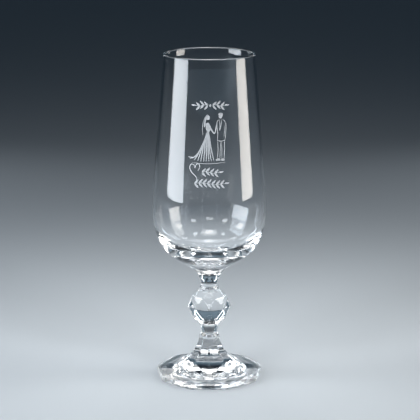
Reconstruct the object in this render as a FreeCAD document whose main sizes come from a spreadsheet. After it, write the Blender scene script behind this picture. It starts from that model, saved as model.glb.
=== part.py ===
import FreeCAD, Part
import math
import os
import re

import Sketcher

# A stemmed champagne flute in clear crystal, all sizes in millimetres, +Z up.
# The origin is on the table, under the middle of the foot. The front, where the
# foot shows one of its nine flats, faces -Y.
#
# From the top: a blown tulip bowl, an upper stem that flares up to carry it, a
# faceted ball knop, a lower stem and a nine-sided foot. Stem, knop and foot all
# carry rows of nine facets, and each row is turned half a facet from the next.

SIZES = {
    # bowl, outside
    "overall_height": 165.0,
    "rim_radius": 22.75,
    "lip_arc": 70.0,  # the last few millimetres straighten up to the rim
    "lip_round": 0.5,  # fire-polished edge of the rim
    "cone_angle": 4.76,  # lean of the long upper wall
    "upper_arc": 140.0,  # from the long wall round to the belly
    "belly_radius": 28.6,
    "belly_height": 86.0,
    "lower_arc": 35.0,  # below the belly
    "shoulder_angle": 28.0,  # where the lower arc hands over to the base arc
    "base_arc": 20.0,
    "base_angle": 58.6,  # where the base arc runs out in a straight cone
    # bowl, inside
    "wall": 1.2,
    "cavity_shoulder_angle": 11.5,
    "cavity_arc": 18.0,
    "floor_angle": 72.0,  # where the round floor starts
    # joint between the bowl and its stem
    "weld_radius": 11.2,
    "weld_height": 58.2,
    # facets
    "facet_count": 9.0,
    "cut_depth": 6.0,  # how far a facet's tool stands outside the glass
    # upper stem
    "neck_radius": 4.45,
    "neck_height": 47.2,
    "collar_radius": 4.9,
    "flare_arc": 12.0,
    "flare_angle": 54.3,
    "neck_facet": 4.2,  # centre line of the neck's facets
    "neck_facet_arc": 10.0,
    "scallop_low_radius": 4.85,  # the flare's own facets, rounded off at both ends
    "scallop_low_height": 50.0,
    "scallop_high_radius": 9.8,
    "scallop_high_height": 57.15,
    "scallop_arc": 8.0,
    # knop, as five rings of corners from the top to the bottom
    "crown_radius": 5.0,
    "crown_height": 45.3,
    "upper_ring_radius": 8.7,
    "upper_ring_height": 41.7,
    "girdle_radius": 11.2,
    "girdle_height": 36.5,
    "lower_ring_radius": 8.85,
    "lower_ring_height": 30.4,
    "culet_radius": 5.1,
    "culet_height": 27.3,
    # lower stem
    "waist_radius": 4.1,
    "waist_height": 22.4,
    "waist_facet": 3.8,
    "step_radius": 5.15,
    "step_height": 20.2,
    "shaft_radius": 5.8,
    "shaft_height": 17.2,
    "stem_end_radius": 9.65,
    "stem_end_height": 11.0,
    "stem_end_arc": 27.0,
    "panel_share": 0.95,  # a panel's centre line against the round outline
    # foot
    "foot_radius": 27.3,
    "foot_flat": 25.85,  # axis to the middle of a flat side
    "foot_shoulder_radius": 21.9,  # where the flare runs out in a shallow cone
    "foot_slope": 9.0,
    "foot_arc": 19.8,
    "foot_edge_top": 3.4,
    "foot_edge_bottom": 0.7,
    "foot_bevel": 0.6,
    "petal_edge": 2.9,  # height of a flat side's top edge
    "petal_tip_radius": 14.0,
    "petal_tip_height": 7.35,
    "petal_arc": 20.0,
    "rest_inner_radius": 21.5,
    "hollow_height": 1.6,  # how far the underside is domed up off the table
}

FRONT = FreeCAD.Rotation(FreeCAD.Vector(0, 0, 1), -90)  # turns a body's +X to the front
UP = FreeCAD.Vector(0, 0, 1)
ORIGIN = -1, 1
HEIGHT_AXIS = -2
HALF_FACET = "180 / facet_count"


def make_sheet(doc):
    """The spreadsheet that holds every driving size, one row each."""
    sheet = doc.addObject("Spreadsheet::Sheet", "Sizes")
    for row, (alias, value) in enumerate(SIZES.items(), start=1):
        sheet.set(f"A{row}", alias)
        sheet.set(f"B{row}", str(value))
        sheet.setAlias(f"B{row}", alias)
    doc.recompute()
    return sheet


def formula(text):
    """A size formula with each alias pointed at the spreadsheet."""
    return re.sub(r"[a-z]+(?:_[a-z]+)+|wall", lambda found: "Sizes." + found.group(), text)


def evaluate(sketch, text):
    """The present value of a size formula."""
    value = sketch.evalExpression(formula(text))
    return float(getattr(value, "Value", value))


def hold(sketch, kind, where, text):
    """Adds a dimension to a sketch and binds it to a size formula."""
    index = sketch.addConstraint(Sketcher.Constraint(kind, *where, evaluate(sketch, text)))
    sketch.setExpression(f"Constraints[{index}]", formula(text))


def hold_corner(sketch, geometry, end, corner):
    """Holds one corner of an outline at its radius and height."""
    radius, height = corner
    if radius == "0":
        sketch.addConstraint(Sketcher.Constraint("PointOnObject", geometry, end, HEIGHT_AXIS))
    else:
        hold(sketch, "DistanceX", (*ORIGIN, geometry, end), radius)
    if height == "0":
        sketch.addConstraint(Sketcher.Constraint("PointOnObject", geometry, end, -1))
    else:
        hold(sketch, "DistanceY", (*ORIGIN, geometry, end), height)


def arc_edge(start, finish, radius, turns_left):
    """A circular edge between two points, its centre left or right of the way along it."""
    chord = finish - start
    across = FreeCAD.Vector(-chord.y, chord.x, 0).normalize()
    rise = math.sqrt(radius**2 - (chord.Length / 2) ** 2)
    centre = (start + finish) / 2 + across * (rise if turns_left else -rise)
    first, last = (start, finish) if turns_left else (finish, start)
    angles = [math.atan2(p.y - centre.y, p.x - centre.x) for p in (first, last)]
    return Part.ArcOfCircle(Part.Circle(centre, UP, radius), *angles)


def draw_outline(sketch, corners, arcs):
    """Draws a closed outline through corners, given as (radius, height) formulas.

    arcs maps the number of a stretch to (radius formula, turns left): the other
    stretches are straight.
    """
    points = [FreeCAD.Vector(evaluate(sketch, r), evaluate(sketch, z), 0) for r, z in corners]
    ends = []
    for number, start in enumerate(points):
        finish = points[(number + 1) % len(points)]
        if number in arcs:
            radius, turns_left = arcs[number]
            edge = arc_edge(start, finish, evaluate(sketch, radius), turns_left)
            geometry = sketch.addGeometry(edge, False)
            ends.append((geometry, (1, 2) if turns_left else (2, 1)))
        else:
            geometry = sketch.addGeometry(Part.LineSegment(start, finish), False)
            ends.append((geometry, (1, 2)))
    for number, (geometry, (first, _)) in enumerate(ends):
        before, (_, last) = ends[number - 1]
        sketch.addConstraint(Sketcher.Constraint("Coincident", before, last, geometry, first))
    for number, (geometry, (first, _)) in enumerate(ends):
        hold_corner(sketch, geometry, first, corners[number])
        if number in arcs:
            hold(sketch, "Radius", (geometry,), arcs[number][0])


def make_section(body, name, corners, arcs=None, turned=False):
    """A sketch in the body's upright XZ plane, or in that plane turned half a facet."""
    sketch = body.newObject("Sketcher::SketchObject", f"{body.Name}_{name}")
    plane = next(f for f in body.Origin.OriginFeatures if f.Role == "XZ_Plane")
    sketch.AttachmentSupport = [(plane, "")]
    sketch.MapMode = "FlatFace"
    if turned:
        sketch.AttachmentOffset = FreeCAD.Placement(
            FreeCAD.Vector(), FreeCAD.Rotation(FreeCAD.Vector(0, 1, 0), 1)
        )
        sketch.setExpression("AttachmentOffset.Rotation.Angle", formula(HALF_FACET))
    draw_outline(sketch, corners, arcs or {})
    sketch.Document.recompute()
    return sketch


def make_body(doc, name):
    """An empty body whose +X faces the front."""
    body = doc.addObject("PartDesign::Body", name)
    body.Label = name
    body.Placement = FreeCAD.Placement(FreeCAD.Vector(), FRONT)
    doc.recompute()
    return body


def spin(body, kind, sketch):
    """Turns a section round the glass's axis, as a Revolution or a Groove."""
    feature = body.newObject(f"PartDesign::{kind}", f"{sketch.Name}_{kind.lower()}")
    feature.Profile = sketch
    feature.ReferenceAxis = (sketch, ["V_Axis"])
    feature.Angle = 360
    sketch.Document.recompute()
    return feature


def press_facets(body, sketch):
    """Cuts one facet straight across the glass and repeats it round the axis."""
    before = body.Shape.Volume
    pocket = body.newObject("PartDesign::Pocket", f"{sketch.Name}_facet")
    pocket.Profile = sketch
    pocket.SideType = "Symmetric"
    pocket.setExpression("Length", formula("2 * foot_radius"))
    sketch.Document.recompute()
    pattern = body.newObject("PartDesign::PolarPattern", f"{sketch.Name}_ring")
    pattern.Originals = [pocket]
    pattern.Axis = (sketch, ["V_Axis"])
    pattern.Angle = 360
    pattern.setExpression("Occurrences", formula("facet_count"))
    body.Tip = pattern
    sketch.Document.recompute()
    if not body.Shape.Volume < before:
        raise RuntimeError(f"{sketch.Name} cuts nothing")
    return pattern


def on_arc(radius, height, arc, angle, inwards=True):
    """The corner that an arc reaches below a point where the wall is upright."""
    sign = "-" if inwards else "+"
    return f"{radius} {sign} {arc} * (1 - cos({angle}))", f"{height} - {arc} * sin({angle})"


def wall_corners(inset):
    """The outline of the bowl's wall from the belly to the rim, inset from the outside."""
    belly = f"belly_radius - {inset}"
    rim = f"rim_radius - {inset}"
    return [
        (belly, "belly_height"),
        (
            f"{belly} - (upper_arc - {inset}) * (1 - cos(cone_angle))",
            f"belly_height + (upper_arc - {inset}) * sin(cone_angle)",
        ),
        on_arc(rim, "overall_height", f"(lip_arc + {inset})", "cone_angle", inwards=False),
        (rim, "overall_height"),
    ]


def wall_arcs(first, inset):
    """The two arcs of the wall's outline, whose first corner has this number."""
    return {
        first: (f"upper_arc - {inset}", True),
        first + 2: (f"lip_arc + {inset}", False),
    }


def make_bowl(doc):
    """The blown bowl: a thin tulip wall that thickens into a solid base."""
    body = make_body(doc, "bowl")
    shoulder = on_arc("belly_radius", "belly_height", "lower_arc", "shoulder_angle")
    base = (
        f"{shoulder[0]} - base_arc * (cos(shoulder_angle) - cos(base_angle))",
        f"{shoulder[1]} - base_arc * (sin(base_angle) - sin(shoulder_angle))",
    )
    outside = [("0", "weld_height"), ("weld_radius", "weld_height"), base, shoulder]
    outside += wall_corners("0")
    outside += [("0", "overall_height")]
    arcs = {2: ("base_arc", True), 3: ("lower_arc", True)}
    spin(body, "Revolution", make_section(body, "outside", outside, arcs | wall_arcs(4, "0")))

    shoulder = on_arc(
        "belly_radius - wall", "belly_height", "(lower_arc - wall)", "cavity_shoulder_angle"
    )
    floor_edge = (
        f"{shoulder[0]} - cavity_arc * (cos(cavity_shoulder_angle) - cos(floor_angle))",
        f"{shoulder[1]} - cavity_arc * (sin(floor_angle) - sin(cavity_shoulder_angle))",
    )
    floor_arc = f"({floor_edge[0]}) / cos(floor_angle)"
    floor = ("0", f"{floor_edge[1]} - {floor_arc} * (1 - sin(floor_angle))")
    inside = [floor, floor_edge, shoulder, *wall_corners("wall"), ("0", "overall_height")]
    arcs = {0: (floor_arc, True), 1: ("cavity_arc", True), 2: ("lower_arc - wall", True)}
    cavity = spin(body, "Groove", make_section(body, "cavity", inside, arcs | wall_arcs(3, "wall")))

    top = evaluate(doc.Sizes, "overall_height")
    at_rim = [
        f"Edge{number}"
        for number, edge in enumerate(cavity.Shape.Edges, start=1)
        if edge.BoundBox.ZMin > top - 0.01
    ]
    lip = body.newObject("PartDesign::Fillet", "bowl_lip")
    lip.Base = (cavity, at_rim)
    lip.setExpression("Radius", formula("lip_round"))
    body.Tip = lip
    doc.recompute()
    return body


def make_upper_stem(doc):
    """The neck and the flare that the bowl is welded to."""
    body = make_body(doc, "upper_stem")
    flare_end = (
        "neck_radius + flare_arc * (1 - cos(flare_angle))",
        "neck_height + flare_arc * sin(flare_angle)",
    )
    outline = [
        ("0", "crown_height"),
        ("collar_radius", "crown_height"),
        ("neck_radius", "neck_height"),
        flare_end,
        ("weld_radius", "weld_height"),
        ("0", "weld_height"),
    ]
    spin(body, "Revolution", make_section(body, "outline", outline, {2: ("flare_arc", False)}))

    tool = "weld_radius + cut_depth"
    neck_end = (
        "neck_facet + neck_facet_arc * (1 - cos(flare_angle))",
        "neck_height + neck_facet_arc * sin(flare_angle)",
    )
    neck = [
        (tool, "crown_height - 1"),
        ("collar_radius + 0.6", "crown_height - 1"),
        ("neck_facet", "neck_height"),
        neck_end,
        (tool, neck_end[1]),
    ]
    press_facets(body, make_section(body, "neck", neck, {2: ("neck_facet_arc", False)}))

    scallop = [
        (tool, "scallop_low_height"),
        ("scallop_low_radius", "scallop_low_height"),
        ("scallop_high_radius", "scallop_high_height"),
        (tool, "scallop_high_height"),
    ]
    arcs = {1: ("scallop_arc", False)}
    press_facets(body, make_section(body, "scallop", scallop, arcs, turned=True))
    return body


def knop_section(turned):
    """Where a knop facet row lies: at its own corners' radius, or at a flat's middle."""
    share = f" * cos({HALF_FACET})"
    rings = ["crown", "upper_ring", "girdle", "lower_ring", "culet"]
    corners = []
    for number, ring in enumerate(rings):
        at_corner = (number % 2 == 1) == turned
        corners.append((f"{ring}_radius" + ("" if at_corner else share), f"{ring}_height"))
    tool = "girdle_radius + cut_depth"
    return [(tool, "crown_height"), *corners, (tool, "culet_height")]


def make_knop(doc):
    """The ball: four rows of flat triangles between five rings of nine corners."""
    body = make_body(doc, "faceted_knop")
    blank = [
        ("0", "culet_height"),
        ("girdle_radius + 1", "culet_height"),
        ("girdle_radius + 1", "crown_height"),
        ("0", "crown_height"),
    ]
    spin(body, "Revolution", make_section(body, "blank", blank))
    press_facets(body, make_section(body, "front_row", knop_section(False)))
    press_facets(body, make_section(body, "turned_row", knop_section(True), turned=True))
    return body


def make_lower_stem(doc):
    """The waist under the knop and the panelled shaft that flares into the foot."""
    body = make_body(doc, "lower_stem")
    outline = [
        ("0", "stem_end_height"),
        ("stem_end_radius", "stem_end_height"),
        ("shaft_radius", "shaft_height"),
        ("step_radius", "step_height"),
        ("waist_radius", "waist_height"),
        ("culet_radius", "culet_height"),
        ("0", "culet_height"),
    ]
    spin(body, "Revolution", make_section(body, "outline", outline, {1: ("stem_end_arc", False)}))

    tool = "stem_end_radius + cut_depth"
    waist = [
        (tool, "step_height"),
        ("step_radius + 0.6", "step_height"),
        ("waist_facet", "waist_height"),
        ("culet_radius * panel_share", "culet_height"),
        (tool, "culet_height"),
    ]
    press_facets(body, make_section(body, "waist", waist))

    shaft = [
        (tool, "stem_end_height"),
        ("stem_end_radius * panel_share", "stem_end_height"),
        ("shaft_radius * panel_share", "shaft_height"),
        ("step_radius * panel_share", "step_height"),
        ("step_radius * panel_share", "waist_height"),
        (tool, "waist_height"),
    ]
    arcs = {1: ("stem_end_arc", False)}
    press_facets(body, make_section(body, "shaft", shaft, arcs, turned=True))
    return body


def make_foot(doc):
    """The nine-sided foot: panels run out to its corners, petals are cut from its flats."""
    body = make_body(doc, "foot")
    shoulder = "foot_edge_top + (foot_radius - foot_shoulder_radius) * tan(foot_slope)"
    outline = [
        ("0", "hollow_height"),
        ("rest_inner_radius", "0"),
        ("foot_radius - foot_bevel", "0"),
        ("foot_radius", "foot_edge_bottom"),
        ("foot_radius", "foot_edge_top"),
        ("foot_shoulder_radius", shoulder),
        ("stem_end_radius", "stem_end_height"),
        ("0", "stem_end_height"),
    ]
    dome = "(rest_inner_radius^2 + hollow_height^2) / (2 * hollow_height)"
    arcs = {0: (dome, False), 5: ("foot_arc", False)}
    spin(body, "Revolution", make_section(body, "outline", outline, arcs))

    tool = "foot_radius + cut_depth"
    panel = [
        (tool, f"{shoulder} - ({tool} - foot_shoulder_radius * panel_share) * tan(foot_slope)"),
        ("foot_shoulder_radius * panel_share", shoulder),
        ("stem_end_radius * panel_share", "stem_end_height"),
        (tool, "stem_end_height"),
    ]
    arcs = {1: ("foot_arc * panel_share", False)}
    press_facets(body, make_section(body, "panel", panel, arcs, turned=True))

    petal = [
        (tool, "-1"),
        ("foot_flat - foot_bevel", "0"),
        ("foot_flat", "foot_edge_bottom"),
        ("foot_flat", "petal_edge"),
        ("petal_tip_radius", "petal_tip_height"),
        (tool, "petal_tip_height + 1"),
    ]
    press_facets(body, make_section(body, "petal", petal, {3: ("petal_arc", False)}))
    return body


def check(doc, bodies):
    """Stops if any feature failed, or if a body is not one valid solid."""
    for thing in doc.Objects:
        if {"Invalid", "Error"} & set(thing.State):
            raise RuntimeError(f"{thing.Name}: {thing.State}")
    for body in bodies:
        shape = body.Shape
        if shape.isNull() or not shape.isValid() or len(shape.Solids) != 1:
            raise RuntimeError(f"{body.Label} is not one valid solid")


def main():
    doc = FreeCAD.newDocument("champagne_flute")
    make_sheet(doc)
    bodies = [
        make_bowl(doc),
        make_upper_stem(doc),
        make_knop(doc),
        make_lower_stem(doc),
        make_foot(doc),
    ]
    doc.recompute()
    check(doc, bodies)
    os.makedirs("parts", exist_ok=True)
    for body in bodies:
        body.Shape.exportStep(f"parts/{body.Label}.step")
        box = body.Shape.BoundBox
        print(
            f"{body.Label}: {body.Shape.Volume / 1000:.2f} ml,"
            f" z {box.ZMin:.2f} to {box.ZMax:.2f}, {box.XLength:.2f} x {box.YLength:.2f} mm,"
            f" {len(body.Shape.Faces)} faces"
        )


main()
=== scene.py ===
import math

import bmesh
import bpy
import numpy as np
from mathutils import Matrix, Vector
from mathutils.geometry import delaunay_2d_cdt


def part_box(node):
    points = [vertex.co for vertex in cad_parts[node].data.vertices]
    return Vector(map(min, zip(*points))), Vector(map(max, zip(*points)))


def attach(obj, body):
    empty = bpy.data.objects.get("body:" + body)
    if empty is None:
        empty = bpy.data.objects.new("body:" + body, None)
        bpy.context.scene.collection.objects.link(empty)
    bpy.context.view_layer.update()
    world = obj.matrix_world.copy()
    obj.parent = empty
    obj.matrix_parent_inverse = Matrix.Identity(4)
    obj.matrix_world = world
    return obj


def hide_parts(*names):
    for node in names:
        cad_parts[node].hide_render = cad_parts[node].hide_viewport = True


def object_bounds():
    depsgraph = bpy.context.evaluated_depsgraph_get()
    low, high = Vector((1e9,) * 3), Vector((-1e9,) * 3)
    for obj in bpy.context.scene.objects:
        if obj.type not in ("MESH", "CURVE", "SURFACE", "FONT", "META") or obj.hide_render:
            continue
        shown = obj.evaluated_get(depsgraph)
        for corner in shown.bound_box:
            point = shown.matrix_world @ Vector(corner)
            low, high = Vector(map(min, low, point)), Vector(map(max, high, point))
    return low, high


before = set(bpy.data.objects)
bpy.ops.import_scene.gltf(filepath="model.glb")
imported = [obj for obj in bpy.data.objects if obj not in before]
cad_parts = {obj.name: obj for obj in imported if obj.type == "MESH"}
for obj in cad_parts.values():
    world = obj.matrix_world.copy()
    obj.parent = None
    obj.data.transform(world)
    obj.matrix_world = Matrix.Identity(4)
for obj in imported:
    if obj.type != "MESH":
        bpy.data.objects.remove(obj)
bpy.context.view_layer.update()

# A champagne flute in clear crystal. The glass is drawn in millimetres, which are scaled
# to metres when a mesh is made; the stage round it is in metres. The shapes follow the CAD
# solids, with the edges of the facets rounded off; the heights and widths that the frame
# gives are read from it.

# ---------------------------------------------------------------- frame
MM = 0.001

BOWL_LOW, BOWL_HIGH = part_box("bowl")
NECK_LOW, NECK_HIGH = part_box("upper_stem")
KNOP_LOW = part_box("faceted_knop")[0]
STEM_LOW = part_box("lower_stem")[0]
FOOT_LOW, FOOT_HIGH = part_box("foot")

# heights of the rim and of the fused joints, and the two widths that the frame gives
Z_RIM = BOWL_HIGH[2] / MM
Z_WELD = BOWL_LOW[2] / MM
Z_CROWN = NECK_LOW[2] / MM
Z_CULET = KNOP_LOW[2] / MM
Z_SHAFT = STEM_LOW[2] / MM
BELLY = (BOWL_HIGH[0] - BOWL_LOW[0]) / 2 / MM
WELD = (NECK_HIGH[0] - NECK_LOW[0]) / 2 / MM

# ---------------------------------------------------------------- facets
FACETS = 9
STEP = 2 * math.pi / FACETS
FRONT = -math.pi / 2
ROW_FRONT = FRONT + STEP * np.arange(FACETS)  # rows with a facet at the front
ROW_TURNED = ROW_FRONT + STEP / 2  # rows with an edge at the front
AROUND = 432  # points in each ring of a mesh
PHI = FRONT + 2 * math.pi * np.arange(AROUND) / AROUND
CLEAR = 1e3  # a radius or height that cuts nothing


def soft_min(fields, blend):
    """The smallest of several fields, with the edges between them rounded off."""
    stack = np.stack(np.broadcast_arrays(*fields))
    low = stack.min(axis=0)
    return low - blend * np.log(np.exp(-(stack - low) / blend).sum(axis=0))


def flats(reach, row):
    """Radius of each flat of a row, whose middles stand at reach off the axis."""
    fields = []
    for middle in row:
        slant = np.cos(PHI - middle)
        facing = slant > 0.3
        fields.append(np.where(facing, reach / np.where(facing, slant, 1.0), CLEAR))
    return fields


def column(values):
    """Heights as a column, so that a field has a row for each height."""
    return np.asarray(values, float).reshape(-1, 1)


def arc_between(start, end, radius, left, count=24):
    """Points on a circular arc from start to end, its centre left or right of the way."""
    (x0, y0), (x1, y1) = start, end
    dx, dy = x1 - x0, y1 - y0
    chord = math.hypot(dx, dy)
    rise = math.sqrt(radius**2 - chord**2 / 4) * (1 if left else -1)
    cx, cy = (x0 + x1) / 2 - dy / chord * rise, (y0 + y1) / 2 + dx / chord * rise
    a0 = math.atan2(y0 - cy, x0 - cx)
    a1 = math.atan2(y1 - cy, x1 - cx)
    turn = (a1 - a0 + math.pi) % (2 * math.pi) - math.pi
    return [
        (cx + radius * math.cos(a0 + turn * t), cy + radius * math.sin(a0 + turn * t))
        for t in np.linspace(0, 1, count)
    ]


def line_between(start, end, count=2):
    """Evenly spaced points on a straight line from start to end."""
    return [tuple(p) for p in np.linspace(start, end, count)]


def join(*runs):
    """One run of points from several that meet end to end."""
    points = []
    for run in runs:
        points += run if not points else run[1:]
    return points


# ---------------------------------------------------------------- meshes
def link_object(name, data):
    obj = bpy.data.objects.new(name, data)
    bpy.context.scene.collection.objects.link(obj)
    return obj


def ring_mesh(name, rings, materials, hidden=()):
    """A closed solid from rings of points, from the lowest centre to the highest centre.

    Each ring is an (AROUND, 3) array, or one point where the surface meets the axis.
    hidden lists the bands whose faces take the second material: a fused joint.
    """
    vertices, starts = [], []
    for ring in rings:
        ring = np.atleast_2d(ring)
        starts.append((len(vertices), len(ring)))
        vertices += ring.tolist()
    faces, slots = [], []
    for band, ((a, na), (b, nb)) in enumerate(zip(starts, starts[1:])):
        mark = 1 if band in hidden else 0
        for i in range(AROUND):
            j = (i + 1) % AROUND
            if na == 1:
                faces.append((a, b + j, b + i))
            elif nb == 1:
                faces.append((a + i, a + j, b))
            else:
                faces.append((a + i, a + j, b + j, b + i))
            slots.append(mark)
    mesh = bpy.data.meshes.new(name)
    mesh.from_pydata([tuple(c * MM for c in v) for v in vertices], [], faces)
    for material in materials:
        mesh.materials.append(material)
    mesh.polygons.foreach_set("use_smooth", [True] * len(faces))
    mesh.polygons.foreach_set("material_index", slots)
    mark_joint_edges(mesh)
    return link_object(name, mesh)


def mark_joint_edges(mesh):
    """Keeps the shading of the outside apart from that of the flat joint faces."""
    bm = bmesh.new()
    bm.from_mesh(mesh)
    for edge in bm.edges:
        if len({face.material_index for face in edge.link_faces}) > 1:
            edge.smooth = False
    bm.to_mesh(mesh)
    bm.free()


def circle(radius, height):
    """A ring of points. radius may be one number or one per direction."""
    radius = np.broadcast_to(radius, PHI.shape)
    height = np.broadcast_to(height, PHI.shape)
    return np.column_stack([radius * np.cos(PHI), radius * np.sin(PHI), height])


JOINT_SHARES = (0.3, 0.6, 0.9)  # rings inside a small joint face
WELD_SHARES = (0.25, 0.5, 0.75, 0.92)  # rings inside the weld under the bowl


def joint_face(radius, height, shares=JOINT_SHARES):
    """A flat face inside a ring of this radius, from its middle outwards."""
    return [np.array([0.0, 0.0, height])] + [circle(radius * share, height) for share in shares]


def fused_mesh(name, low_face, side, high_face, materials):
    """A closed solid whose side runs from one flat joint face up to another."""
    rings = low_face + side + high_face[::-1]
    high = len(low_face) + len(side) - 1
    hidden = [*range(len(low_face)), *range(high, len(rings) - 1)]
    return ring_mesh(name, rings, materials, hidden)


# ---------------------------------------------------------------- bowl outline
RIM = 22.75
WALL = 1.2
LIP = 0.6  # round of the fire-polished rim
LIP_ARC = 70.0  # the last few millimetres straighten up to the rim
CONE = math.radians(4.76)  # lean of the long upper wall
UPPER_ARC = 140.0  # from the long wall round to the belly
BELLY_Z = 86.0
LOWER_ARC = 35.0  # below the belly
BASE_ARC = 20.0
SHOULDER_TURN = math.radians(28)  # where the lower arc hands over to the base arc
BASE_TURN = math.radians(58.6)  # where the base arc runs out in a straight cone
CAVITY_ARC = 18.0
CAVITY_TURN = math.radians(11.5)  # where the cavity's lower arc hands over to CAVITY_ARC
FLOOR_TURN = math.radians(72)  # where the cavity's round floor starts
UNEVENNESS = 0.018  # of the bowl's inner wall


def wall_run(inset):
    """The wall from the belly to the rim, inset from the outside."""
    belly = (BELLY - inset, BELLY_Z)
    upper = (
        belly[0] - (UPPER_ARC - inset) * (1 - math.cos(CONE)),
        BELLY_Z + (UPPER_ARC - inset) * math.sin(CONE),
    )
    lip_arc = LIP_ARC + inset
    lip = (RIM - inset + lip_arc * (1 - math.cos(CONE)), Z_RIM - lip_arc * math.sin(CONE))
    return join(
        arc_between(belly, upper, UPPER_ARC - inset, True, 14),
        line_between(upper, lip, 16),
        arc_between(lip, (RIM - inset, Z_RIM), lip_arc, False, 12),
    )


def arc_down(belly, arc, turn):
    """The point that an arc reaches below the belly, where the wall is upright."""
    return belly - arc * (1 - math.cos(turn)), BELLY_Z - arc * math.sin(turn)


def arc_on(start, arc, turn, end_turn):
    """The point that an arc reaches from start, between two leans of the wall."""
    return (
        start[0] - arc * (math.cos(turn) - math.cos(end_turn)),
        start[1] - arc * (math.sin(end_turn) - math.sin(turn)),
    )


def bowl_outside():
    """The outside, from the edge of the weld to the rim."""
    shoulder = arc_down(BELLY, LOWER_ARC, SHOULDER_TURN)
    base = arc_on(shoulder, BASE_ARC, SHOULDER_TURN, BASE_TURN)
    return join(
        line_between((WELD, Z_WELD), base, 14),
        arc_between(base, shoulder, BASE_ARC, True, 26),
        arc_between(shoulder, (BELLY, BELLY_Z), LOWER_ARC, True, 30),
        wall_run(0.0),
    )


def bowl_inside():
    """The cavity, from the middle of its floor to the rim."""
    belly, arc = BELLY - WALL, LOWER_ARC - WALL
    shoulder = arc_down(belly, arc, CAVITY_TURN)
    edge = arc_on(shoulder, CAVITY_ARC, CAVITY_TURN, FLOOR_TURN)
    floor = edge[0] / math.cos(FLOOR_TURN)
    bottom = (0.0, edge[1] - floor * (1 - math.sin(FLOOR_TURN)))
    return join(
        arc_between(bottom, edge, floor, True, 26),
        arc_between(edge, shoulder, CAVITY_ARC, True, 34),
        arc_between(shoulder, (belly, BELLY_Z), arc, True, 10),
        wall_run(WALL),
    )


OUTSIDE = np.array(bowl_outside())


def outside_radius(z):
    """Radius of the bowl's outside at a height."""
    return np.interp(z, OUTSIDE[:, 1], OUTSIDE[:, 0])


def hand_blown(z):
    """A slow unevenness of blown glass, fading out at the rim and the base."""
    fade = np.clip((z - Z_WELD - 4) / 15, 0, 1) * np.clip((Z_RIM - 1 - z) / 12, 0, 1)
    wave = (
        np.sin(2 * PHI + z / 17)
        + 0.7 * np.sin(3 * PHI - z / 11 + 1.3)
        + 0.5 * np.sin(5 * PHI + z / 23 + 2.1)
        + 0.6 * np.sin(z / 9.5 + 0.4)
    )
    return UNEVENNESS * fade * wave


def make_bowl(glass, joint):
    inside = bowl_inside()
    weld = joint_face(WELD, Z_WELD, WELD_SHARES)
    rings = weld + [circle(r, z) for r, z in OUTSIDE if z < Z_RIM - LIP]
    for turn in np.linspace(0, math.pi, 15):
        rings.append(circle(RIM - LIP + LIP * math.cos(turn), Z_RIM - LIP + LIP * math.sin(turn)))
    for r, z in inside[:0:-1]:
        if z < Z_RIM - LIP - 0.1:
            rings.append(circle(r + hand_blown(z), z))
    rings.append(np.array([0.0, 0.0, inside[0][1]]))
    return ring_mesh("crystal_bowl", rings, [glass, joint], hidden=range(len(weld)))


# ---------------------------------------------------------------- upper stem
NECK, NECK_Z = 4.45, 47.2  # the narrowest place
NECK_ARC = 12.0
NECK_SPREAD = 0.45 / 1.9  # how fast it widens again below that
NECK_FLAT, NECK_FLAT_ARC = 4.2, 10.0  # the neck's facets, along their middles
NECK_FLAT_SPREAD = 0.42
NECK_BLEND = 0.05  # round of the edges between facets
FLARE = math.radians(54.3)  # lean where the flare runs out in a straight cone
SCALLOP_LOW, SCALLOP_HIGH = (4.85, 50.0), (9.8, 57.15)  # ends of the flare's facets
SCALLOP_ARC = 8.0
SCALLOP_PAST = (2.0, 2.5)  # how fast a facet leaves the glass below and above its ends
SEAM = 0.8  # the last bit under the weld, which is round
CROWN_SEAM = 0.7  # the first bit over the knop, which takes on the knop's outline
BAND = 0.14  # height of a mesh band on the stem


def flare_profile(radius, low, arc, z):
    """Radius of a flaring arc that starts upright at height low, at heights z."""
    rise = np.clip((z - low) / arc, 0, math.sin(FLARE))
    curved = radius + arc * (1 - np.sqrt(1 - rise**2))
    beyond = np.clip(z - low - arc * math.sin(FLARE), 0, None)
    return curved + beyond * math.tan(FLARE)


def arc_profile(low, high, arc, z):
    """Radius of an arc between two corners, and clear of the glass beyond them."""
    run = np.array(arc_between(low, high, arc, False, 40))
    inside = np.interp(z, run[:, 1], run[:, 0])
    below = np.clip(low[1] - z, 0, None) * SCALLOP_PAST[0]
    above = np.clip(z - high[1], 0, None) * SCALLOP_PAST[1]
    return inside + (below + above)


def neck_radius(z):
    """Radius of the upper stem at heights z."""
    z = column(z)
    below = np.clip(NECK_Z - z, 0, None)
    outline = flare_profile(NECK, NECK_Z, NECK_ARC, z) + below * NECK_SPREAD
    neck = flare_profile(NECK_FLAT, NECK_Z, NECK_FLAT_ARC, z) + below * NECK_FLAT_SPREAD
    scallop = arc_profile(SCALLOP_LOW, SCALLOP_HIGH, SCALLOP_ARC, z)
    fields = [outline] + flats(neck, ROW_FRONT) + flats(scallop, ROW_TURNED)
    share = np.clip((Z_WELD - z) / SEAM, 0, 1)
    return soft_min(fields, NECK_BLEND) * share + np.minimum(outline, WELD) * (1 - share)


def make_neck(glass, joint):
    heights = np.concatenate([np.arange(Z_CROWN, Z_WELD, BAND), [Z_WELD]])
    shares = np.clip((heights - Z_CROWN) / CROWN_SEAM, 0, 1) ** 1.5
    crown = crown_radius()
    side = [
        circle(r * share + crown * (1 - share), z)
        for r, z, share in zip(neck_radius(heights), heights, shares)
    ]
    low_face = joint_face(crown, Z_CROWN)
    high_face = joint_face(WELD, Z_WELD, WELD_SHARES)
    return fused_mesh("crystal_neck", low_face, side, high_face, [glass, joint])


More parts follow.
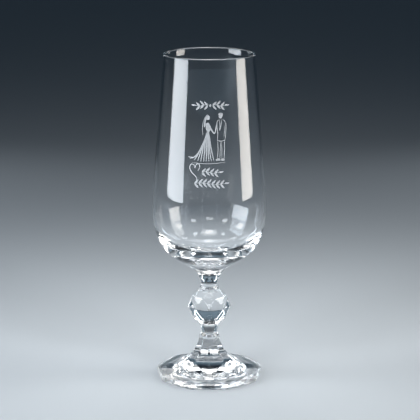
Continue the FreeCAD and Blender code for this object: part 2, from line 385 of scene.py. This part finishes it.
# ---------------------------------------------------------------- knop
# five rings of nine corners each, as (radius, height), from the top to the bottom
RINGS = [(4.95, Z_CROWN), (8.7, 41.7), (11.2, 36.5), (8.85, 30.4), (5.05, Z_CULET)]
FLAT_SHARE = math.cos(STEP / 2)  # a flat's middle against its corners
KNOP_BLEND = 0.05
END_SHARE = 0.985  # the knop's end faces against the facets round them
END_ROUND = 0.5  # height in which the facets draw in to an end face


def knop_lines(turned, z):
    """Reach of a row's four flats at heights z, each carried on past its ends."""
    corners = [
        (r if (number % 2 == 1) == turned else r * FLAT_SHARE, height)
        for number, (r, height) in enumerate(RINGS)
    ]
    lines = []
    for (r0, z0), (r1, z1) in zip(corners, corners[1:]):
        lines.append(r0 + (z - z0) * (r1 - r0) / (z1 - z0))
    return lines


def knop_radius(z):
    """Radius of the knop at heights z."""
    z = column(z)
    fields = []
    for turned, row in ((False, ROW_FRONT), (True, ROW_TURNED)):
        for reach in knop_lines(turned, z):
            fields += flats(reach, row)
    return soft_min(fields, KNOP_BLEND)


def crown_radius():
    """Outline of the joint face on top of the knop."""
    return knop_radius([Z_CROWN])[0] * END_SHARE


def culet_radius():
    """Outline of the joint face under the knop."""
    return knop_radius([Z_CULET])[0] * END_SHARE


def make_knop(glass, joint):
    heights = np.linspace(Z_CULET, Z_CROWN, 141)
    shares = np.clip(np.minimum(heights - Z_CULET, Z_CROWN - heights) / END_ROUND, 0, 1)
    side = [
        circle(r * (END_SHARE + (1 - END_SHARE) * share), z)
        for r, z, share in zip(knop_radius(heights), heights, shares)
    ]
    low_face = joint_face(culet_radius(), Z_CULET)
    high_face = joint_face(crown_radius(), Z_CROWN)
    return fused_mesh("crystal_knop", low_face, side, high_face, [glass, joint])


# ---------------------------------------------------------------- lower stem
PANEL = 0.95  # a panel's middle against the round outline
STEM_END = (9.65, Z_SHAFT)
SHAFT_TOP, STEP_EDGE = (5.8, 17.2), (5.15, 20.2)
SHAFT_ARC = 27.0
SHAFT_RISE = 0.05  # how fast the outline widens above the step, where the waist cuts it
SHAFT_RUN = np.array(
    join(
        arc_between(STEM_END, SHAFT_TOP, SHAFT_ARC, False, 30),
        line_between(SHAFT_TOP, STEP_EDGE),
    )
)
WAIST_Z = 22.4
WAIST, WAIST_SPREAD = 4.12, 0.62  # the narrowest place, and how fast it widens below
WAIST_FLAT, WAIST_FLAT_SPREAD = 3.86, 0.85  # the same for the small facets round it
STEM_BLEND = 0.06
CULET_SEAM = 0.9  # the last bit under the knop, which takes on the knop's outline


def shaft_outline(z, scale):
    """Radius of the flaring shaft, which runs on almost straight above its step."""
    body = np.interp(z, SHAFT_RUN[:, 1], SHAFT_RUN[:, 0]) * scale
    return body + np.clip(z - STEP_EDGE[1], 0, None) * SHAFT_RISE


def waist_outline(z, radius, spread):
    """Radius of the waist: out to the knop above it, and out by spread for each mm below."""
    culet = RINGS[-1][0]
    upper = radius + np.clip(z - WAIST_Z, 0, None) * (culet - radius) / (Z_CULET - WAIST_Z)
    return upper + np.clip(WAIST_Z - z, 0, None) * spread


def stem_radius(z):
    """Radius of the lower stem at heights z."""
    z = column(z)
    fields = [shaft_outline(z, 1.0), waist_outline(z, WAIST, WAIST_SPREAD)]
    fields += flats(shaft_outline(z, PANEL), ROW_TURNED)
    fields += flats(waist_outline(z, WAIST_FLAT, WAIST_FLAT_SPREAD), ROW_FRONT)
    return soft_min(fields, STEM_BLEND)


def make_stem(glass, joint):
    heights = np.concatenate([np.arange(Z_SHAFT, Z_CULET, BAND), [Z_CULET]])
    shares = np.clip((Z_CULET - heights) / CULET_SEAM, 0, 1) ** 1.5
    radius = stem_radius(heights)
    culet = culet_radius()
    side = [
        circle(r * share + culet * (1 - share), z)
        for r, z, share in zip(radius, heights, shares)
    ]
    low_face = joint_face(radius[0], Z_SHAFT)
    high_face = joint_face(culet, Z_CULET)
    return fused_mesh("crystal_stem", low_face, side, high_face, [glass, joint])


# ---------------------------------------------------------------- foot
CORNER_GAIN = 0.25  # no corner lies on the X axis, so they reach past the box's side
CORNER = (FOOT_HIGH[0] - FOOT_LOW[0]) / 2 / MM + CORNER_GAIN
FLAT = 25.85  # axis to the middle of a flat side
SLOPE = math.tan(math.radians(9))
SHOULDER = (21.9, 3.4 + (27.3 - 21.9) * SLOPE)  # where the flare runs out in a shallow cone
FLARE_RUN = np.array(arc_between(STEM_END, SHOULDER, 19.8, True, 60))
PETAL_TIP, PETAL_END = (14.0, 7.35), (FLAT, 2.9)
PETAL_RUN = np.array(arc_between(PETAL_TIP, PETAL_END, 20.0, True, 60))
PETAL_PAST = (1.2, 0.2)  # how fast a petal leaves the glass inside its tip, and falls past its end
REST, REST_FLAT = 21.5, 23.6  # the ring that stands on the table
DOME = 1.6  # how far the underside is domed up inside that ring
BEVEL = 0.7  # round of the lower edge
FILLET = 0.55  # round of the upper edge
SIDE_TOP = 1.3  # height of a plain band of the side over the bevel
FOOT_BLEND, EDGE_BLEND = 0.07, 0.4  # round of the edges on top, and of the corners


def foot_outline(x, scale):
    """Height of the flare at distance x off the axis, with its widths scaled."""
    shoulder = SHOULDER[0] * scale
    cone = SHOULDER[1] - np.clip(x - shoulder, 0, None) * SLOPE
    flare = np.interp(x, FLARE_RUN[:, 0] * scale, FLARE_RUN[:, 1])
    return np.where(x > shoulder, cone, flare)


def petal_outline(x):
    """Height of a petal facet at distance x off the axis, along its own middle."""
    inner = np.clip(PETAL_TIP[0] - x, 0, None) * PETAL_PAST[0]
    outer = np.clip(x - FLAT, 0, None) * PETAL_PAST[1]
    return np.interp(x, PETAL_RUN[:, 0], PETAL_RUN[:, 1]) + inner - outer


def across(radius, row, outline):
    """Height of each facet of a row, which follows an outline along its middle."""
    fields = []
    for middle in row:
        slant = np.cos(PHI - middle)
        facing = slant > 0.5
        height = outline(np.where(facing, radius * slant, 0))
        fields.append(np.where(facing, height, CLEAR))
    return fields


def foot_top(radius):
    """Height of the foot's upper side at a distance off the axis."""
    fields = [foot_outline(radius, 1.0)]
    fields += across(radius, ROW_TURNED, lambda x: foot_outline(x, PANEL))
    fields += across(radius, ROW_FRONT, petal_outline)
    return soft_min(fields, FOOT_BLEND)


def foot_underside(edge):
    """The dome, the flat ring on the table and the round of the lower edge."""
    rings = [np.array([0.0, 0.0, DOME])]
    for share in np.linspace(0.06, 1, 34):
        rings.append(circle(REST * share, DOME * (1 - share**2)))
    rings.append(circle(REST + 0.7, 0.0))
    rings.append(circle(np.minimum(edge - 1.6, REST_FLAT), 0.0))
    rings.append(circle(edge - BEVEL - 0.05, 0.0))
    for turn in np.linspace(0.15, 1, 9) * math.pi / 2:
        rings.append(circle(edge - BEVEL * (1 - math.sin(turn)), BEVEL * (1 - math.cos(turn))))
    rings.append(circle(edge, SIDE_TOP))
    return rings


def foot_upper_edge(edge):
    """The round between the side and the upper side."""
    rings = []
    side_top = foot_top(edge) - FILLET
    for turn in np.linspace(0.0, 1, 9) * math.pi / 2:
        radius = edge - FILLET * (1 - math.cos(turn))
        top = foot_top(radius)
        share = math.sin(turn) ** 0.5
        height = top * share + side_top * (1 - share)
        limit = top - FILLET * (1 - math.sin(turn)) * 0.9
        rings.append(circle(radius, np.minimum(height, limit)))
    return rings


def make_foot(glass, joint):
    edge = soft_min([CORNER] + flats(FLAT, ROW_FRONT), EDGE_BLEND)
    inner = stem_radius([Z_SHAFT])[0]
    rings = foot_underside(edge) + foot_upper_edge(edge)
    start = edge - FILLET
    gap = Z_SHAFT - foot_top(inner)
    for share in np.linspace(0, 1, 96)[1:]:
        r = start + (inner - start) * share
        rings.append(circle(r, foot_top(r) + gap * np.exp(-(r - inner) / 0.8)))
    high = len(rings) - 1
    rings += joint_face(inner, Z_SHAFT)[::-1]
    return ring_mesh("crystal_foot", rings, [glass, joint], hidden=range(high, len(rings) - 1))


# ---------------------------------------------------------------- engraving
def curve_through(points, closed, per_span=7):
    """A smooth Catmull-Rom line through given points."""
    p = np.array(points, float)
    if closed:
        p = np.vstack([p[-1], p, p[0], p[1]])
    else:
        p = np.vstack([2 * p[0] - p[1], p, 2 * p[-1] - p[-2]])
    line = []
    for a, b, c, d in zip(p, p[1:], p[2:], p[3:]):
        square, cube = 2 * a - 5 * b + 4 * c - d, 3 * b - a - 3 * c + d
        for t in np.arange(per_span) / per_span:
            line.append(0.5 * (2 * b + (c - a) * t + square * t**2 + cube * t**3))
    if not closed:
        line.append(p[-2])
    return np.array(line)


def blob(*points):
    """A filled shape with a smooth outline."""
    return curve_through(points, True)


def oval(x, z, width, height, tilt=0.0):
    """A filled oval, tilted about its middle."""
    turn = np.linspace(0, 2 * math.pi, 28, endpoint=False)
    u, v = np.cos(turn) * width / 2, np.sin(turn) * height / 2
    c, s = math.cos(tilt), math.sin(tilt)
    return np.column_stack([x + u * c - v * s, z + u * s + v * c])


def stroke(width, *points, taper=0.25):
    """A drawn line with a swelling middle and fine ends."""
    line = curve_through(points, False, 9)
    ahead = np.gradient(line, axis=0)
    aside = np.column_stack([-ahead[:, 1], ahead[:, 0]])
    side = aside / np.hypot(ahead[:, 0], ahead[:, 1])[:, None]
    along = np.linspace(0, 1, len(line))
    half = width / 2 * (taper + (1 - taper) * np.sin(math.pi * along) ** 0.7)[:, None]
    return np.vstack([line + side * half, (line - side * half)[::-1]])


def mirror(shape):
    """The same shape on the other side of the front's middle."""
    return np.column_stack([-shape[:, 0], shape[:, 1]])[::-1]


FROST_GAP, FROST_DEPTH = 0.012, 0.05  # between the frosting and the glass, and its thickness
FROST_CUT = 1.0  # widest strip of frosting that is laid flat on the round glass


def engrave(name, shapes, frost):
    """Lays flat shapes, drawn as (distance round the front, height), on the bowl."""
    bm = bmesh.new()
    for shape in shapes:
        flat, _, faces, *_ = delaunay_2d_cdt(
            [Vector(p) for p in shape], [], [list(range(len(shape)))], 1, 1e-5
        )
        made = [bm.verts.new((p.x, 0.0, p.y)) for p in flat]
        for face in faces:
            bm.faces.new([made[i] for i in face])
    ways = [v.co.x for v in bm.verts]
    for x in np.arange(math.ceil(min(ways)), max(ways), FROST_CUT):
        geometry = bm.verts[:] + bm.edges[:] + bm.faces[:]
        bmesh.ops.bisect_plane(bm, geom=geometry, plane_co=(x, 0, 0), plane_no=(1, 0, 0), dist=1e-4)
    bmesh.ops.remove_doubles(bm, verts=bm.verts[:], dist=1e-4)
    added = bmesh.ops.extrude_face_region(bm, geom=bm.faces[:])
    for item in added["geom"]:
        if isinstance(item, bmesh.types.BMVert):
            item.co.y = -FROST_DEPTH
    for vertex in bm.verts:
        reach = float(outside_radius(vertex.co.z))
        turn = FRONT + vertex.co.x / reach
        out = reach + FROST_GAP - vertex.co.y
        vertex.co = Vector((out * math.cos(turn), out * math.sin(turn), vertex.co.z)) * MM
    bmesh.ops.recalc_face_normals(bm, faces=bm.faces[:])
    mesh = bpy.data.meshes.new(name)
    bm.to_mesh(mesh)
    bm.free()
    mesh.materials.append(frost)
    return link_object(name, mesh)


def gown_figure(x):
    """A plain figure in a long gown with a train, its veil down its back."""
    pleats = [
        (0.55, (-0.5, 130.4), (0.2, 125.0), (1.0, 120.5), (1.9, 116.6)),
        (0.60, (-0.8, 130.4), (-0.3, 124.5), (0.1, 120.0), (0.7, 116.3)),
        (0.62, (-1.1, 130.4), (-0.9, 124.5), (-0.8, 120.0), (-0.5, 116.3)),
        (0.62, (-1.4, 130.3), (-1.6, 124.5), (-1.7, 120.0), (-1.7, 116.2)),
        (0.62, (-1.7, 129.9), (-2.3, 125.0), (-2.7, 120.0), (-3.0, 116.2)),
        (0.62, (-1.9, 129.0), (-3.0, 124.5), (-3.8, 119.8), (-4.4, 116.3)),
        (0.60, (-2.3, 127.5), (-3.7, 123.6), (-4.9, 119.4), (-5.9, 116.4)),
        (0.56, (-3.0, 125.6), (-4.6, 122.2), (-6.2, 118.8), (-7.7, 116.7)),
        (0.52, (-4.0, 123.0), (-5.6, 120.4), (-7.6, 118.2), (-9.7, 117.3)),
        (0.44, (-5.6, 119.6), (-7.3, 118.2), (-9.1, 118.0), (-10.6, 118.2)),
    ]
    shapes = [stroke(width, *line, taper=0.45) for width, *line in pleats]
    shapes += [
        oval(-0.9, 137.2, 1.8, 2.3, 0.1),
        blob(
            (-1.9, 134.4), (-0.6, 134.7), (0.2, 132.9), (0.1, 130.9), (-1.3, 130.5), (-2.0, 132.4)
        ),
        blob(
            (-1.0, 138.6), (-2.0, 138.0), (-2.6, 136.0), (-2.9, 133.2), (-2.5, 132.6), (-1.9, 135.4)
        ),
        stroke(0.7, (-0.3, 133.9), (0.5, 132.0), (1.3, 130.5), (2.3, 129.4), taper=0.6),
        stroke(0.26, (-2.3, 137.6), (-3.3, 134.6), (-3.6, 131.4), (-3.4, 128.8)),
    ]
    return [shape + (x, 0) for shape in shapes]


def suit_figure(x):
    """A plain figure in a suit, drawn in outline."""
    shapes = [
        oval(0.0, 137.9, 1.8, 2.4, -0.08),
        blob((0.1, 139.5), (-0.9, 139.1), (-1.0, 138.5), (0.0, 138.7), (0.9, 138.0), (1.2, 138.9)),
        stroke(
            0.36, (-0.5, 136.3), (-1.5, 135.4), (-1.8, 133.2), (-1.3, 130.2), (-1.5, 126.2), taper=0.5
        ),
        stroke(
            0.36, (0.6, 136.3), (2.0, 135.6), (2.7, 133.6), (2.6, 129.8), (2.3, 126.4), taper=0.5
        ),
        stroke(0.30, (1.7, 133.8), (2.0, 130.6), (1.7, 127.8)),
        stroke(0.34, (-1.5, 126.2), (0.4, 125.9), (2.2, 126.2), taper=0.6),
        stroke(0.42, (-0.5, 136.0), (-0.2, 133.6), (-0.4, 131.0)),
        stroke(0.32, (0.6, 136.1), (0.4, 133.9), (-0.2, 131.4)),
        stroke(0.60, (-1.7, 134.2), (-2.2, 132.2), (-2.4, 130.6), (-3.1, 129.3), taper=0.6),
        stroke(0.34, (-1.3, 125.9), (-1.2, 121.5), (-1.5, 117.4), taper=0.5),
        stroke(0.30, (0.2, 125.6), (-0.1, 121.4), (-0.3, 117.4), taper=0.5),
        stroke(0.30, (0.6, 125.6), (0.7, 121.4), (0.7, 117.4), taper=0.5),
        stroke(0.34, (2.1, 125.9), (2.0, 121.5), (1.8, 117.4), taper=0.5),
        blob((-0.2, 117.4), (-1.5, 117.5), (-2.4, 116.8), (-1.2, 116.5), (-0.2, 116.6)),
        blob((1.9, 117.4), (0.7, 117.4), (0.1, 116.7), (1.2, 116.4), (2.0, 116.6)),
    ]
    return [shape + (x, 0) for shape in shapes]


def couple_shapes():
    """Two plain standing figures hand in hand: one in a long gown, one in a suit."""
    ground = stroke(0.3, (-8.5, 115.5), (-3.0, 115.1), (3.0, 115.2), (8.0, 115.7))
    return gown_figure(0.3) + suit_figure(5.4) + [ground]


def heart_shapes():
    """An open heart in one line, whose left side runs on in a tail."""
    dip = (-7.0, 112.9)
    tail = [(-6.0, 106.3), (-6.4, 108.6), (-8.6, 110.8)]
    left = tail + [(-9.6, 112.9), (-8.9, 114.6), (-7.5, 114.4), dip]
    right = [dip, (-6.3, 114.6), (-5.0, 114.9), (-4.7, 113.2), (-5.6, 111.6)]
    return [stroke(0.5, *side, taper=0.5) for side in (left, right)]


def leaf(x, z, length, lean):
    """A small pointed leaf that grows from a point of a stem."""
    along = np.array([math.cos(lean), math.sin(lean)])
    aside = np.array([-along[1], along[0]])
    outline = ((0.0, 0.0), (0.35, 0.17), (1.0, 0.0), (0.45, -0.19))
    return blob(*[(x, z) + along * length * a + aside * length * b for a, b in outline])


def sprig(x0, x1, z, pairs):
    """A laurel sprig: a gently waving stem with leaves in pairs and one at its tip."""
    pitch = (x1 - x0) / (pairs + 0.7)
    nodes = [
        (x0 + pitch * i, z + 0.4 * math.sin(2 * math.pi * i / pairs)) for i in range(pairs + 1)
    ]
    shapes = [stroke(0.32, *nodes, taper=0.5)]
    for node in nodes[:-1]:
        shapes += [leaf(*node, 1.35 * pitch, side * 0.8) for side in (-1, 1)]
    return shapes + [leaf(*nodes[-1], 1.2 * pitch, 0.1)]


def ornament_shapes():
    """Three lines of plain leafwork: one over the figures and two under them."""
    half = sprig(1.1, 8.4, 143.0, 3)
    over = half + [mirror(shape) for shape in half] + [oval(0, 143.0, 0.9, 1.3)]
    under = sprig(-3.6, 6.0, 110.9, 4) + sprig(-7.2, 9.0, 105.4, 7)
    return [shape + (0.5, 0) for shape in over] + under


# ---------------------------------------------------------------- materials
def new_material(name):
    """A material with its node tree and its Principled shader."""
    material = bpy.data.materials.new(name)
    material.use_nodes = True
    nodes = material.node_tree.nodes
    return material, nodes, material.node_tree.links, nodes["Principled BSDF"]


def crystal(name, scale, depth):
    """Clear crystal, whose surface keeps a faint unevenness of a noise scale and a depth."""
    material, nodes, links, shader = new_material(name)
    shader.inputs["Base Color"].default_value = (0.985, 0.993, 1.0, 1)
    shader.inputs["Transmission Weight"].default_value = 1.0
    shader.inputs["Roughness"].default_value = 0.0
    shader.inputs["IOR"].default_value = 1.53
    place = nodes.new("ShaderNodeTexCoord")
    noise = nodes.new("ShaderNodeTexNoise")
    noise.inputs["Scale"].default_value = scale
    noise.inputs["Detail"].default_value = 1.0
    bump = nodes.new("ShaderNodeBump")
    bump.inputs["Strength"].default_value = 0.3
    bump.inputs["Distance"].default_value = depth
    links.new(place.outputs["Object"], noise.inputs["Vector"])
    links.new(noise.outputs["Fac"], bump.inputs["Height"])
    links.new(bump.outputs["Normal"], shader.inputs["Normal"])
    return material


def fused_joint():
    """The inner faces where two gathers of glass are fused: nothing of them shows."""
    material, _, _, shader = new_material("fused_joint")
    shader.inputs["Base Color"].default_value = (1, 1, 1, 1)
    shader.inputs["Alpha"].default_value = 0.0
    return material


def frosting():
    """Sand-blasted glass: matt, white and fine grained."""
    material, nodes, links, shader = new_material("frosting")
    shader.inputs["Roughness"].default_value = 0.55
    shader.inputs["IOR"].default_value = 1.5
    shader.inputs["Alpha"].default_value = 0.62
    place = nodes.new("ShaderNodeTexCoord")
    grain = nodes.new("ShaderNodeTexNoise")
    grain.inputs["Scale"].default_value = 1400.0
    grain.inputs["Detail"].default_value = 3.0
    tone = nodes.new("ShaderNodeValToRGB")
    tone.color_ramp.elements[0].color = (0.62, 0.66, 0.70, 1)
    tone.color_ramp.elements[1].color = (0.96, 0.97, 0.98, 1)
    bump = nodes.new("ShaderNodeBump")
    bump.inputs["Strength"].default_value = 0.6
    bump.inputs["Distance"].default_value = 0.00004
    links.new(place.outputs["Object"], grain.inputs["Vector"])
    links.new(grain.outputs["Fac"], tone.inputs["Fac"])
    links.new(tone.outputs["Color"], shader.inputs["Base Color"])
    links.new(grain.outputs["Fac"], bump.inputs["Height"])
    links.new(bump.outputs["Normal"], shader.inputs["Normal"])
    return material


def floor_material():
    """Matt pale card."""
    material, _, _, shader = new_material("pale_floor")
    shader.inputs["Roughness"].default_value = 0.85
    shader.inputs["Base Color"].default_value = (0.54, 0.585, 0.625, 1)
    return material


# ---------------------------------------------------------------- pieces
def make_pieces():
    blown = crystal("blown_crystal", 55.0, 0.00006)
    pressed = crystal("pressed_crystal", 160.0, 0.00005)
    joint = fused_joint()
    frost = frosting()
    solid = [
        (make_bowl(blown, joint), "bowl", "blown_crystal"),
        (make_neck(pressed, joint), "upper_stem", "pressed_crystal"),
        (make_knop(pressed, joint), "faceted_knop", "pressed_crystal"),
        (make_stem(pressed, joint), "lower_stem", "pressed_crystal"),
        (make_foot(pressed, joint), "foot", "pressed_crystal"),
    ]
    for piece, node, slot in solid:
        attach(piece, "root")
        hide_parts(node)
    drawn = [
        engrave("engraved_couple", couple_shapes(), frost),
        engrave("engraved_heart", heart_shapes(), frost),
        engrave("engraved_leafwork", ornament_shapes(), frost),
    ]
    for piece in drawn:
        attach(piece, "root")


# ---------------------------------------------------------------- stage
FLOOR_REACH = 14.0
FLOOR_GAP = 0.00002  # keeps the floor apart from the foot's flat ring


def make_floor():
    mesh = bpy.data.meshes.new("floor")
    turns = np.linspace(0, 2 * math.pi, 96, endpoint=False)
    vertices = [(FLOOR_REACH * math.cos(turn), FLOOR_REACH * math.sin(turn), 0) for turn in turns]
    mesh.from_pydata(vertices, [], [tuple(range(len(vertices)))])
    mesh.materials.append(floor_material())
    floor = link_object("floor", mesh)
    floor.location.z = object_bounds()[0][2] - FLOOR_GAP


def softbox(name, azimuth, elevation, distance, size, power, colour, spread, aim):
    """A soft rectangular light that faces the glass.

    It stands at an azimuth, counted from the front, and an elevation, and sends its light
    out within a spread, all in degrees. aim is the height on the glass that it faces.
    """
    light = bpy.data.lights.new(name, "AREA")
    light.shape = "RECTANGLE"
    light.size, light.size_y = size
    light.energy = power
    light.color = colour
    light.spread = math.radians(spread)
    lamp = link_object(name, light)
    turn, lift = math.radians(azimuth) + FRONT, math.radians(elevation)
    target = Vector((0, 0, aim))
    level = math.cos(lift)
    away = Vector((math.cos(turn) * level, math.sin(turn) * level, math.sin(lift)))
    lamp.location = target + away * distance
    lamp.rotation_euler = away.to_track_quat("Z", "Y").to_euler()
    lamp.visible_camera = False


def make_lights():
    """Two low windows at the sides, whose strips the bowl mirrors.

    The smaller lights overhead and all round work on the facets. They stand where the
    front of the bowl doesn't mirror them.
    """
    softbox("left_window", -74, 5, 0.62, (0.46, 0.30), 2.1, (0.88, 0.94, 1.0), 150, 0.12)
    softbox("right_window", 84, 5, 0.62, (0.32, 0.30), 1.25, (1.0, 0.96, 0.90), 150, 0.12)
    softbox("overhead", 0, 86, 0.70, (0.26, 0.26), 0.10, (1.0, 0.99, 0.97), 44, 0.0)
    softbox("high_front", 0, 36, 0.80, (0.22, 0.16), 0.08, (1.0, 1.0, 1.0), 50, 0.06)
    softbox("back_top", 180, 46, 0.80, (0.40, 0.20), 0.045, (1.0, 1.0, 1.0), 44, 0.03)
    for side in (-1, 1):
        softbox("front_side", 42 * side, 38, 0.80, (0.14, 0.14), 0.08, (0.96, 0.98, 1.0), 50, 0.05)
        softbox("high_side", 92 * side, 36, 0.80, (0.20, 0.20), 0.07, (1.0, 0.99, 0.96), 44, 0.05)
        softbox("high_back", 148 * side, 30, 0.80, (0.30, 0.20), 0.03, (0.94, 0.97, 1.0), 44, 0.03)
        softbox("edge", 148 * side, 8, 0.80, (0.10, 0.26), 0.16, (0.9, 0.95, 1.0), 100, 0.12)


def make_world():
    """A dim studio whose far wall glows a little near the floor."""
    world = bpy.data.worlds.new("studio")
    world.use_nodes = True
    nodes, links = world.node_tree.nodes, world.node_tree.links
    place = nodes.new("ShaderNodeTexCoord")
    axes = nodes.new("ShaderNodeSeparateXYZ")
    ramp = nodes.new("ShaderNodeValToRGB")
    ramp.color_ramp.interpolation = "EASE"
    low, high = ramp.color_ramp.elements
    low.position, low.color = 0.02, (0.13, 0.19, 0.24, 1)
    high.position, high.color = 0.50, (0.010, 0.015, 0.022, 1)
    links.new(place.outputs["Generated"], axes.inputs["Vector"])
    links.new(axes.outputs["Z"], ramp.inputs["Fac"])
    links.new(ramp.outputs["Color"], nodes["Background"].inputs["Color"])
    bpy.context.scene.world = world


DEEP_PATHS = 28


def trace_deep_paths():
    """Lets light be reflected inside the thick crystal as often as it needs to come out."""
    tracing = bpy.context.scene.cycles
    tracing.max_bounces = DEEP_PATHS
    tracing.transmission_bounces = DEEP_PATHS
    tracing.glossy_bounces = DEEP_PATHS


def show_plain_colours():
    """Shows the colours as they are lit, with no film look over them."""
    bpy.context.scene.view_settings.view_transform = "Standard"


def make_camera():
    """A long lens a little above the glass, looking down on it."""
    camera = bpy.data.cameras.new("camera")
    camera.lens = 138.4
    camera.sensor_width = 36.0
    camera.clip_start = 0.01
    eye = link_object("camera", camera)
    eye.location = (0.00035, -0.7872, 0.27104)
    eye.rotation_euler = (math.radians(90 - 13.227), 0, 0)
    bpy.context.scene.camera = eye


make_pieces()
make_floor()
make_lights()
make_world()
trace_deep_paths()
show_plain_colours()
make_camera()
